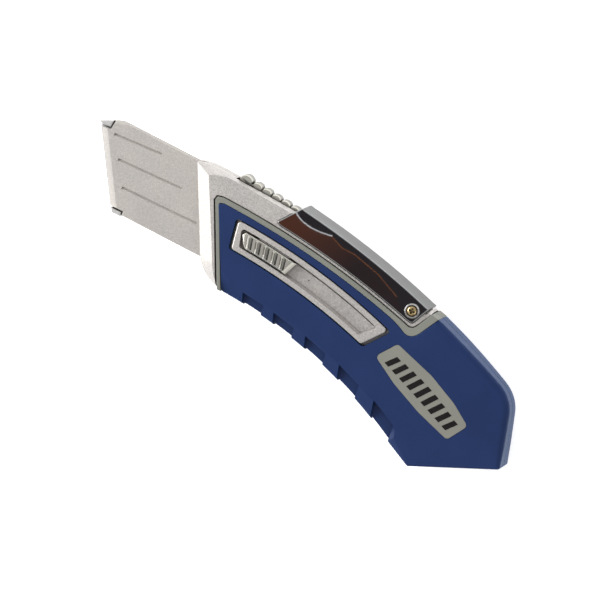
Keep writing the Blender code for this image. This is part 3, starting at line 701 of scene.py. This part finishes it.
def grip(side, name, node):
    """Rubber half that wraps the belly, the tail and the back behind the cover."""
    piece = half(name, grip_path(), GRIP_RIMS, SPLIT, GRIP_FACE, side)
    facet_tail(piece, side)
    cutters = [slab("badge_bed", badge_path(0.06)[0], GRIP_FACE - 0.9, CLEAR, side)]
    for notch, floor in zip(notch_outlines(), floor_outlines()):
        cutters.append(slab("notch", notch, NOTCH_FACE - 0.5, CLEAR, side))
        cutters.append(slab("floor", floor, -1.0, NOTCH_FACE, side))
    if side == NEAR:
        cutters.append(slab("window", tray_path(POCKET, 1.0, 17.2, 1.0)[0], 0.0, CLEAR))
    else:
        cutters.extend(slab("screw_hole", circle(spot, SCREW_SEAT, 24), 0.0, CLEAR, side)
                       for spot in SCREWS[1:])
    cutters.append(slab("inside", core_outline(), -1.0, CORE_FACE + 0.1, side))
    carve(piece, *cutters)
    return finish(piece, "handle", BLUE, (node,), 0.22, 34, 3)


def border_path():
    """Outline of the grey border between the silver and the blue."""
    outer = [(-21.6, -10.25), (-34.0, 13.5)] + curve((-33.95, 14.2), (-33.85, 15.0), (-33.1, 14.93), 3)
    outer += along(BORDER_EDGE, -32.2, 33.4, 30)
    outer += curve((34.2, 6.55), (36.3, 5.85), (37.25, 7.7), 6) + [(39.75, 12.95)]
    inner = [(42.2, 12.42)] + curve((38.95, 6.1), (36.96, 3.03), (34.2, 4.43), 8)
    inner += curve((34.2, 4.43), (32.0, 5.57), on_arc(BORDER_EDGE, 29.0, -BORDER_WIDTH + 0.06), 6)[1:]
    inner += along(BORDER_EDGE, 29.0, -31.0, 30, -BORDER_WIDTH + 0.06)[1:]
    inner += [(-32.65, 13.35, 0.5), (-20.4, -10.25)]
    return trace(("rim", outer + inner))


def border(side, name, node):
    """Grey rubber strip round the front of the grip, on one half."""
    rims = {"rim": round_rim(0.2, 0.2, 3)}
    piece = half(name, border_path(), rims, SPLIT, BORDER_FACE, side)
    carve(piece, slab("inside", core_outline(), -1.0, CORE_FACE + 0.1, side))
    return finish(piece, "handle", GREY, (node,))


def badge(side, name, node):
    """Inlay with a plain row of slanted bars."""
    rims = {"rim": round_rim(0.1, 0.08, 3)}
    piece = half(name, badge_path(), rims, GRIP_FACE - 0.6, GRIP_FACE - 0.06, side)
    return finish(piece, "handle", INLAY, (node,))


BARS = 9
BAR_BOW = 0.525              # how far the row's middle rises


def badge_mark(side, name):
    """Generic motif: slanted bars, longer and further up towards the middle of the row."""
    start, end = Vector((35.6, -5.1)), Vector((59.4, -14.2))
    run = (end - start).normalized()
    across = Vector((-run.y, run.x))
    shape = None
    for i in range(BARS):
        share = i / (BARS - 1)
        swell = math.sin(math.pi * share)
        middle = start + (end - start) * share + across * BAR_BOW * swell
        reach = 2.0 + 0.45 * swell
        lean = run * 0.65
        wide = run * 0.85
        corners = [middle - across * reach - lean - wide, middle - across * reach - lean + wide,
                   middle + across * reach + lean + wide, middle + across * reach + lean - wide]
        bar = slab(name, [(c.x, c.y) for c in corners], GRIP_FACE - 0.3, GRIP_FACE - 0.02, side)
        shape = bar if shape is None else weld(shape, bar)
    return finish(shape, "handle", MARK)


# ---- the track and the slider ----
def tray_path(radii, start, end, corner):
    """Outline of the track: concentric arcs joined by ends that lean like the mouth."""
    low, high = radii
    top = track_run(high, start, end, 24)
    bottom = track_run(low, end - 0.95, start + 0.6, 24)
    return trace(("rim", [top[0] + (corner,)] + top[2:-2] + [top[-1] + (corner,), bottom[0] + (corner,)]
                  + bottom[2:-2] + [bottom[-1] + (corner,)]))


def track_band(radii, start, end):
    """Closed outline of a plain strip on the track."""
    low, high = radii
    return track_run(high, start, end, 20) + track_run(low, end, start, 20)


DIMPLE = (1.9, 4.75)         # small pit in the track's floor


def track():
    """Silver tray with a raised rim and a slot along the upper wall of its recess."""
    rims = {"rim": round_rim(0.5, 0.45)}
    path = tray_path(TRACK_OUTER, 1.25, 16.95, 1.1)
    tray = half("slider_track_tray", path, rims, TRACK_FLOOR[0], GRIP_FACE)
    floor = TRACK_FLOOR[1]
    outline = tray_path(TRACK_INNER, 1.8, 16.3, 0.9)[0]
    flare = [(0.55, -0.3), (0.45, 0.25), (0.2, 0.8), (0.06, 1.4), (0.0, 2.1)]
    rings = [lay(inset(outline, [back] * len(outline)), floor + up) for back, up in flare]
    rings.append(lay(inset(outline, [-0.25] * len(outline)), GRIP_FACE + 0.15))
    rings[0] = lay(inset(outline, [0.6] * len(outline)), floor)
    carve(tray, loft("recess", rings))
    carve(tray, slab("slot", track_band(TRACK_SLOT, 3.2, 15.7), 0.0, floor + 0.05),
          turned("dimple", DIMPLE, [(0.32, floor + 0.3), (0.3, floor), (0.1, floor - 0.25)], NEAR, 16))
    return finish(tray, "handle", SILVER, ("slider_track",), 0.1, 30)


def button():
    """Thumb button: a flat pad with five leaning ribs and a sloping rear end."""
    low, high = BUTTON_BAND
    top = [polar(TRACK_CENTRE, high, angle) for angle in (2.28, 3.2, 4.2, 5.4, 6.4, 7.4)]
    bottom = [polar(TRACK_CENTRE, low, angle) for angle in (7.05, 6.05, 5.1, 4.0, 3.3, 2.85)]
    nose = [polar(TRACK_CENTRE, low + 1.0, 2.5), polar(TRACK_CENTRE, high - 1.0, 2.1)]
    path = trace(("side", top[:-1]), ("rear", top[-1:]), ("side", bottom[:-1]),
                 ("front", bottom[-1:] + nose))
    rims = {
        "side": [(0.0, 0.75), (0.06, 0.4), (0.2, 0.15), (0.4, 0.0)],
        "rear": [(0.0, 0.75), (0.4, 0.6), (1.0, 0.32), (1.65, 0.0)],
        "front": [(0.0, 0.75), (0.12, 0.4), (0.3, 0.15), (0.6, 0.0)],
    }
    piece = half("thumb_button", path, rims, BUTTON[0], BUTTON[1])
    weld(piece, *[rib(i) for i in range(RIBS)])
    joints = [slab("joint", rib_foot(i), BUTTON[1] - 0.35, CLEAR) for i in range(RIBS)]
    pocket = slab("pocket", track_band((199.5, 203.3), 3.3, 6.9), 6.0, BUTTON[1] - 0.5)
    carve(piece, pocket, *joints)
    return finish(piece, "button", SATIN, ("slider_button",), 0.05, 50)


RIBS = 5
RIB_START = 2.6              # where the first rib stands, in degrees along the track
RIB_PITCH = 0.83
RIB_LEAN = 0.33              # how much further back a rib's lower end lies
RIB_GROOVE = 0.1             # width of the groove behind it
RIB_SECTION = ((0.0, -0.3), (0.04, 0.28), (0.12, 0.53), (0.21, 0.6),
               (0.3, 0.53), (0.38, 0.28), (0.44, -0.3))    # degrees along, height over the pad


def rib_foot(i):
    """Outline of the narrow groove behind a rib."""
    low, high = BUTTON_BAND[0] + 0.6, BUTTON_BAND[1] - 0.6
    start = RIB_START + RIB_PITCH * i + RIB_SECTION[-1][0]
    end = start + RIB_GROOVE
    return [polar(TRACK_CENTRE, high, start), polar(TRACK_CENTRE, high, end),
            polar(TRACK_CENTRE, low, end + RIB_LEAN), polar(TRACK_CENTRE, low, start + RIB_LEAN)]


def rib(i):
    """One cross rib with a steep front and a rounded crest, lower at both ends."""
    start = RIB_START + RIB_PITCH * i
    low, high = BUTTON_BAND[0] + 0.4, BUTTON_BAND[1] - 0.4
    rings = []
    for radius, lean, full in ((low, RIB_LEAN, 0.4), (low + 0.4, RIB_LEAN, 1.0), (high - 0.4, 0.0, 1.0),
                               (high, 0.0, 0.4)):
        ring = []
        for angle, up in RIB_SECTION:
            x, y = polar(TRACK_CENTRE, radius, start + lean + angle)
            ring.append((x, y, BUTTON[1] + (up if up < 0.0 else up * full)))
        rings.append(ring)
    return loft("rib", rings)


# ---- the cover, its screw and the lever ----
def back_cover():
    """Chrome saddle over the back: two side walls and a back wall."""
    saddle = both("back_cover_saddle", cover_path(), {"rim": round_rim(0.3, 0.3, 4)}, COVER_FACE)
    inner = [(-20.0, 10.0), (-20.0, 24.0)] + along(BACK, -12.0, 39.5, 20, -COVER_WALL) + [(42.0, -4.0)]
    carve(saddle, slab("hollow", inner, -COVER_FACE + COVER_WALL, COVER_FACE - COVER_WALL),
          slab("bore", circle(PIVOT, PIVOT_BORE), -CLEAR, CLEAR))
    return finish(saddle, "handle", MIRROR, ("back_cover",))


RECESS_FLOOR = 7.6           # height of the cross recess's floor


def cover_screw():
    """Gold-toned screw with a cross recess, and its washer ring."""
    profile = [(0.0, 8.82), (0.7, 8.82), (1.1, 8.72), (1.42, 8.5), (1.55, 8.2),
               (1.55, 7.4), (0.8, 7.4), (0.8, 1.0), (0.0, 1.0)]
    head = turned("cover_screw_head", PIVOT, profile)
    carve(head, slab("slot", oblong(PIVOT, 0.9, 0.3), RECESS_FLOOR, CLEAR),
          slab("cross", oblong(PIVOT, 0.3, 0.9), RECESS_FLOOR, CLEAR))
    finish(head, "handle", BRASS, ("cover_screw",), 0.05, 40)
    rings = [(1.72, 8.3), (1.72, 8.6), (1.85, 8.78), (2.05, 8.8), (2.22, 8.62), (2.3, 8.4), (2.3, 8.15)]
    outer = [[(x, y, h) for x, y in circle(PIVOT, radius)] for radius, h in rings]
    shape = loft("cover_screw_ring", outer)
    carve(shape, slab("hole", circle(PIVOT, 1.7), 0.0, CLEAR))
    return finish(shape, "handle", STEEL, ("cover_ring",))


def lever_top():
    """Top line of the release lever: a big bump, five ribs, then the arm under the cover."""
    spots = []
    for i in range(13):
        angle = math.pi * i / 12
        spots.append((-28.9 - 2.1 * math.cos(angle), 22.3 + 1.78 * math.sin(angle)))
    for bump in range(5):
        centre = -25.1 + 3.3 * bump
        base = 22.35 - 0.3 * bump
        for i in range(9):
            angle = math.pi * (0.05 + 0.9 * i / 8)
            spots.append((centre - 1.6 * math.cos(angle), base + 1.0 * math.sin(angle)))
    return spots


def release_lever():
    """Chrome lever hinged on the barrel nut; its ribbed pad lies in front of the cover."""
    arm_top = along(BACK, -9.0, 31.0, 10, -1.7)
    arm_bottom = along(BACK, 29.0, -9.0, 10, -3.6)
    boss = [polar(PIVOT, 2.4, -20.0 + 200.0 * i / 12) for i in range(13)]
    pad_bottom = [(-12.0, 20.2), (-27.5, 20.9), (-31.0, 21.2)]
    outline = lever_top() + arm_top + boss + [(30.6, 9.6)] + arm_bottom + pad_bottom
    path = trace(("rim", outline))
    piece = both("release_lever_pad", path, {"rim": round_rim(0.5, 0.9, 4)}, LEVER_HALF)
    carve(piece, slab("bore", circle(PIVOT, PIVOT_BORE), -CLEAR, CLEAR))
    hook = [slab("stem", [(-31.0, 21.0), (-33.2, 21.0), (-33.2, 12.2), (-31.0, 12.2)], 3.4, 4.6, FAR),
            slab("tooth", [(-31.0, 13.8), (-33.2, 13.8), (-33.2, 12.2), (-31.0, 12.2)], 1.9, 4.0, FAR),
            slab("bridge", [(-27.5, 21.25), (-33.2, 21.0), (-33.2, 20.4), (-27.5, 20.4)], 2.1, 4.6, FAR)]
    weld(piece, *hook)
    return finish(piece, "lever", SATIN, ("release_lever",), 0.06, 60)


# ---- the blade holder ----
CHEEK_RIMS = {
    "front": flat_rim(1.75, 0.85),
    "tip": flat_rim(1.0, 0.6),
    "top": flat_rim(0.45, 0.4),
    "low": round_rim(0.15, 0.15),
}


def holder_path():
    """Outline of the blade holder's cheek, out to its tail inside the handle."""
    tail = [(-36.0, 19.0), (-5.5, 12.0, 2.0), (-5.5, 2.2, 2.0), (-20.0, -1.2, 3.0), (-28.0, -4.7, 2.0)]
    return trace(("low", [(-72.7, 17.15)]), ("tip", [(-72.5, 20.15)]),
                 ("top", [(-70.2, 21.0), (-41.5, 21.0)]),
                 ("low", tail + [(-58.2, -4.7), (-58.3, -3.4)]), ("front", [(-62.5, -3.6)]),
                 ("low", [(-75.7, 16.6)]))


def groove(side, ends):
    """Cutter for one embossed line: a steep upper side and a broad sloping lower side."""
    a, b = Vector(ends[0]), Vector(ends[1])
    run = (b - a).normalized()
    across = Vector((-run.y, run.x))
    rings = []
    levels = ((-0.12, 0.3, CHEEK[1] - GROOVE_DEPTH), (0.62, 0.5, CHEEK[1] + 0.02), (0.62, 0.5, 3.0))
    for below, above, h in levels:
        corners = [a - across * below - run * above, b - across * below + run * above,
                   b + across * above + run * above, a + across * above - run * above]
        rings.append([(c.x, c.y, h) for c in corners])
    return loft("groove", rings, side)


def cheek(side, name, node):
    """One side of the blade holder, with three grooves outside."""
    piece = half(name, holder_path(), CHEEK_RIMS, CHEEK[0], CHEEK[1], side)
    cutters = [groove(side, ends) for ends in GROOVES]
    cutters.extend(slab("rivet_hole", circle(spot, RIVET_HOLE, 24), -3.0, 3.0, side) for spot in RIVETS)
    carve(piece, *cutters)
    if side == FAR:
        weld(piece, slab("side_lug", oblong((-29.6, 14.0), 1.0, 0.8), CHEEK[0] + 0.3, 3.2, FAR))
    return finish(piece, "holder", HOLDER, (node,), 0.06, 40)


def corner_lug(name, outline, flange, node):
    """Corner piece between the cheeks at a front corner; its thin flange closes the gap to them."""
    path = trace(("rim", outline))
    piece = both(name, path, {"rim": flat_rim(0.3, 0.25)}, CHEEK[1] - 0.1)
    weld(piece, slab("flange", flange, -0.42, 0.42))
    return finish(piece, "holder", LUG, (node,))


# ---- build ----
def build():
    housing(NEAR, "housing_shell_near", "housing_near")
    housing(FAR, "housing_shell_far", "housing_far")
    grip(NEAR, "rubber_grip_near", "grip_near")
    grip(FAR, "rubber_grip_far", "grip_far")
    border(NEAR, "rubber_border_near", "border_near")
    border(FAR, "rubber_border_far", "border_far")
    badge(NEAR, "badge_inlay_near", "badge_near")
    badge(FAR, "badge_inlay_far", "badge_far")
    badge_mark(NEAR, "badge_bars_near")
    badge_mark(FAR, "badge_bars_far")
    track()
    button()
    back_cover()
    cover_screw()
    release_lever()
    cheek(NEAR, "holder_cheek_near", "holder_near")
    cheek(FAR, "holder_cheek_far", "holder_far")
    corner_lug("corner_lug_top", [(-77.0, 18.05), (-72.9, 20.0), (-73.1, 17.6), (-75.9, 17.15)],
               [(-76.4, 17.5), (-72.5, 19.9), (-72.6, 17.15), (-75.8, 16.85)], "corner_lug_upper")
    corner_lug("corner_lug_bottom", [(-62.3, -4.0), (-58.75, -3.85), (-58.6, -5.2), (-61.5, -5.3)],
               [(-62.0, -3.7), (-58.4, -3.55), (-58.3, -4.9), (-61.3, -5.0)], "corner_lug_lower")


def paint_kept_nodes():
    """Materials for the CAD nodes that stay."""
    kept = {"blade": BLADE}
    for node in ("barrel_nut", "housing_screw_1", "housing_screw_2", "housing_screw_3", "lever_spring",
                 "button_spring", "slider_carriage", "holder_rivet_1", "holder_rivet_2"):
        kept[node] = STEEL
    for node, material in kept.items():
        piece = frame["nodes"][node]
        piece.data.materials.clear()
        piece.data.materials.append(material)


# ---- the studio ----
VIEW_LEAN = math.radians(10.5)       # how far the camera leans from straight above
VIEW_SIDE = math.radians(51.7)       # towards this direction, from +X
VIEW_TURN = math.radians(27.0)       # and how it is turned about its own line of sight
CARD_HEIGHT = 0.12                   # of the cards that only show in reflections, m
LENS = 600.0                         # long lens, mm
SENSOR = 36.0                        # width of the camera's sensor, mm
FIELD = 0.18                         # width of the view at the knife, m
LOOK_AT = Vector((0.00135, -0.00269, 0.0085))
FADE_WAY = (0.9, -0.45)              # direction along the cover in which a card's colour fades


def camera():
    """Camera that looks down at the knife from slightly over its back."""
    lean = Matrix.Rotation(VIEW_LEAN, 4, Vector((-math.sin(VIEW_SIDE), math.cos(VIEW_SIDE), 0.0)))
    turn = Matrix.Rotation(VIEW_TURN, 4, "Z")
    data = bpy.data.cameras.new("camera")
    data.lens = LENS
    data.sensor_width = SENSOR
    data.clip_end = 50.0
    view = bpy.data.objects.new("camera", data)
    bpy.context.scene.collection.objects.link(view)
    rotation = lean @ turn
    stand = LOOK_AT + rotation.to_3x3() @ Vector((0.0, 0.0, FIELD * LENS / SENSOR))
    view.matrix_world = Matrix.Translation(stand) @ rotation
    bpy.context.scene.camera = view


def studio_point(azimuth, elevation, distance):
    """Point at an azimuth, anticlockwise from the picture's right, and an elevation."""
    a = math.radians(azimuth) + VIEW_TURN
    e = math.radians(elevation)
    return Vector((math.cos(a) * math.cos(e), math.sin(a) * math.cos(e), math.sin(e))) * distance


def softbox(name, azimuth, elevation, distance, size, power):
    """Rectangular white lamp aimed at the knife."""
    data = bpy.data.lights.new(name, "AREA")
    data.shape = "RECTANGLE"
    data.size, data.size_y = size
    data.energy = power
    lamp = bpy.data.objects.new(name, data)
    bpy.context.scene.collection.objects.link(lamp)
    lamp.location = studio_point(azimuth, elevation, distance)
    lamp.rotation_euler = lamp.location.to_track_quat("Z", "Y").to_euler()
    lamp.visible_camera = False
    return lamp


def card_paint(name, colour, fade, ends):
    """Glow of one colour, or fading to a second one between two distances along the cover."""
    material = bpy.data.materials.new(name)
    material.use_nodes = True
    tree = material.node_tree
    tree.nodes.remove(tree.nodes["Principled BSDF"])
    glow = tree.nodes.new("ShaderNodeEmission")
    glow.inputs["Color"].default_value = (*colour, 1.0)
    if fade:
        slope = tree.nodes.new("ShaderNodeVectorMath")
        slope.operation = "DOT_PRODUCT"
        slope.inputs[1].default_value = (*FADE_WAY, 0.0)
        tree.links.new(tree.nodes.new("ShaderNodeTexCoord").outputs["Object"], slope.inputs[0])
        share = tree.nodes.new("ShaderNodeMapRange")
        share.inputs["From Min"].default_value = ends[0]
        share.inputs["From Max"].default_value = ends[1]
        tree.links.new(slope.outputs["Value"], share.inputs["Value"])
        blend = tree.nodes.new("ShaderNodeValToRGB")
        for element, position, shade in zip(blend.color_ramp.elements, (0.1, 0.55), (colour, fade)):
            element.position = position
            element.color = (*shade, 1.0)
        tree.links.new(share.outputs["Result"], blend.inputs["Fac"])
        tree.links.new(blend.outputs["Color"], glow.inputs["Color"])
    tree.links.new(glow.outputs["Emission"], tree.nodes["Material Output"].inputs["Surface"])
    return material


def overhead(name, outline, colour, layer, fade=None):
    """Card that the camera sees reflected where the outline lies on the cover's face; x, y in mm.

    With a second colour it fades towards the tail. Higher layers hang in front of lower ones.
    """
    height = CARD_HEIGHT - layer * MM
    rise = height - (MID + COVER_FACE) * MM
    shift = Vector((math.cos(VIEW_SIDE), math.sin(VIEW_SIDE))) * (-rise * math.tan(VIEW_LEAN))
    spread = 1.0 + rise / (FIELD * LENS / SENSOR)
    spots = []
    for x, y in outline:
        spot = LOOK_AT.xy + (Vector((x, y)) * MM - LOOK_AT.xy) * spread + shift
        spots.append((spot.x, spot.y, height))
    mesh = bpy.data.meshes.new(name)
    mesh.from_pydata(spots, [], [tuple(range(len(spots)))])
    ends = [FADE_WAY[0] * x + FADE_WAY[1] * y for x, y, _ in (spots[0], spots[-4])]
    mesh.materials.append(card_paint(name, colour, fade, ends))
    piece = link(name, mesh)
    piece.visible_camera = False
    piece.visible_diffuse = False
    piece.visible_shadow = False
    return piece


FLOOR_REACH = 6.0                    # from the middle to a side, m
FLOOR_DROP = 0.0002                  # just under the knife


def floor():
    """Plain pale floor, a little luminous so that it stays even."""
    mesh = bpy.data.meshes.new("floor")
    corners = [(x, y, 0.0) for x, y in oblong((0.0, 0.0), FLOOR_REACH, FLOOR_REACH)]
    mesh.from_pydata(corners, [], [(0, 1, 2, 3)])
    piece = link("floor", mesh)
    piece.location.z = -FLOOR_DROP
    paint = Paint("floor", 0.9, 0.0, 0.0)
    grain = paint.noise(40.0, 2.0)
    paint.wire(paint.ramp(grain, (0.3, (0.83, 0.83, 0.83)), (0.7, (0.85, 0.85, 0.85))), "Base Color")
    paint.set("Emission Color", (1.0, 1.0, 1.0, 1.0))
    paint.set("Emission Strength", 0.6)
    mesh.materials.append(paint.material)


BRIGHT_SIDE = 140.0                  # azimuth of the brightest part of the surroundings, degrees


def world():
    """Bright horizon, darker overhead and towards the picture's lower right."""
    made = bpy.data.worlds.new("studio")
    bpy.context.scene.world = made
    made.use_nodes = True
    tree = made.node_tree
    way = tree.nodes.new("ShaderNodeTexCoord").outputs["Generated"]
    split = tree.nodes.new("ShaderNodeSeparateXYZ")
    ramp = tree.nodes.new("ShaderNodeValToRGB")
    tree.links.new(way, split.inputs["Vector"])
    tree.links.new(split.outputs["Z"], ramp.inputs["Fac"])
    stops = ((0.0, 0.95), (0.35, 0.95), (0.75, 0.85), (0.95, 0.8))
    while len(ramp.color_ramp.elements) < len(stops):
        ramp.color_ramp.elements.new(0.5)
    for element, (position, value) in zip(ramp.color_ramp.elements, stops):
        element.position = position
        element.color = (value, value, value, 1.0)
    facing = tree.nodes.new("ShaderNodeVectorMath")
    facing.operation = "DOT_PRODUCT"
    facing.inputs[1].default_value = studio_point(BRIGHT_SIDE, 0.0, 1.0)
    tree.links.new(way, facing.inputs[0])
    share = tree.nodes.new("ShaderNodeMapRange")
    for socket, value in (("From Min", -1.0), ("From Max", 1.0), ("To Min", 0.35), ("To Max", 1.2)):
        share.inputs[socket].default_value = value
    tree.links.new(facing.outputs["Value"], share.inputs["Value"])
    background = tree.nodes["Background"]
    tree.links.new(ramp.outputs["Color"], background.inputs["Color"])
    tree.links.new(share.outputs["Result"], background.inputs["Strength"])


def studio():
    """Surroundings, floor, lamps and the cards that the cover reflects."""
    bpy.context.scene.view_settings.view_transform = "Standard"
    world()
    floor()
    softbox("key", 160.0, 24.0, 0.9, (0.7, 0.45), 9.0)
    softbox("back_light", 75.0, 22.0, 1.0, (0.6, 0.3), 3.0).visible_glossy = False
    softbox("fill", -40.0, 45.0, 1.0, (0.6, 0.6), 1.0)
    overhead("black_card", [(-16.5, 14.5), (34.0, 0.0), (46.0, 6.0), (44.0, 20.0), (-9.0, 26.5)],
             (0.05, 0.045, 0.05), 0)
    edge = [(-11.0, 21.5), (-8.0, 19.9), (-3.8, 19.1), (2.5, 20.0), (6.5, 18.4), (11.0, 18.4), (20.0, 16.3),
            (28.0, 12.8), (31.5, 9.0)]
    foot = [(31.5, 5.0), (-12.0, 13.0), (-17.0, 15.0)]
    overhead("brown_card", edge + foot, (0.165, 0.066, 0.044), 1, (0.06, 0.043, 0.045))
    line = edge[3:8]
    overhead("orange_line", line + [(x, y - 0.22) for x, y in reversed(line)], (0.42, 0.16, 0.07), 2)
    bend = curve((-10.9, 21.5), (-6.6, 18.0), (2.3, 20.0), 10)
    overhead("white_line", bend + [(x + 0.1, y + 0.3) for x, y in reversed(bend)], (1.3, 1.3, 1.35), 3)


build()
paint_kept_nodes()
camera()
studio()
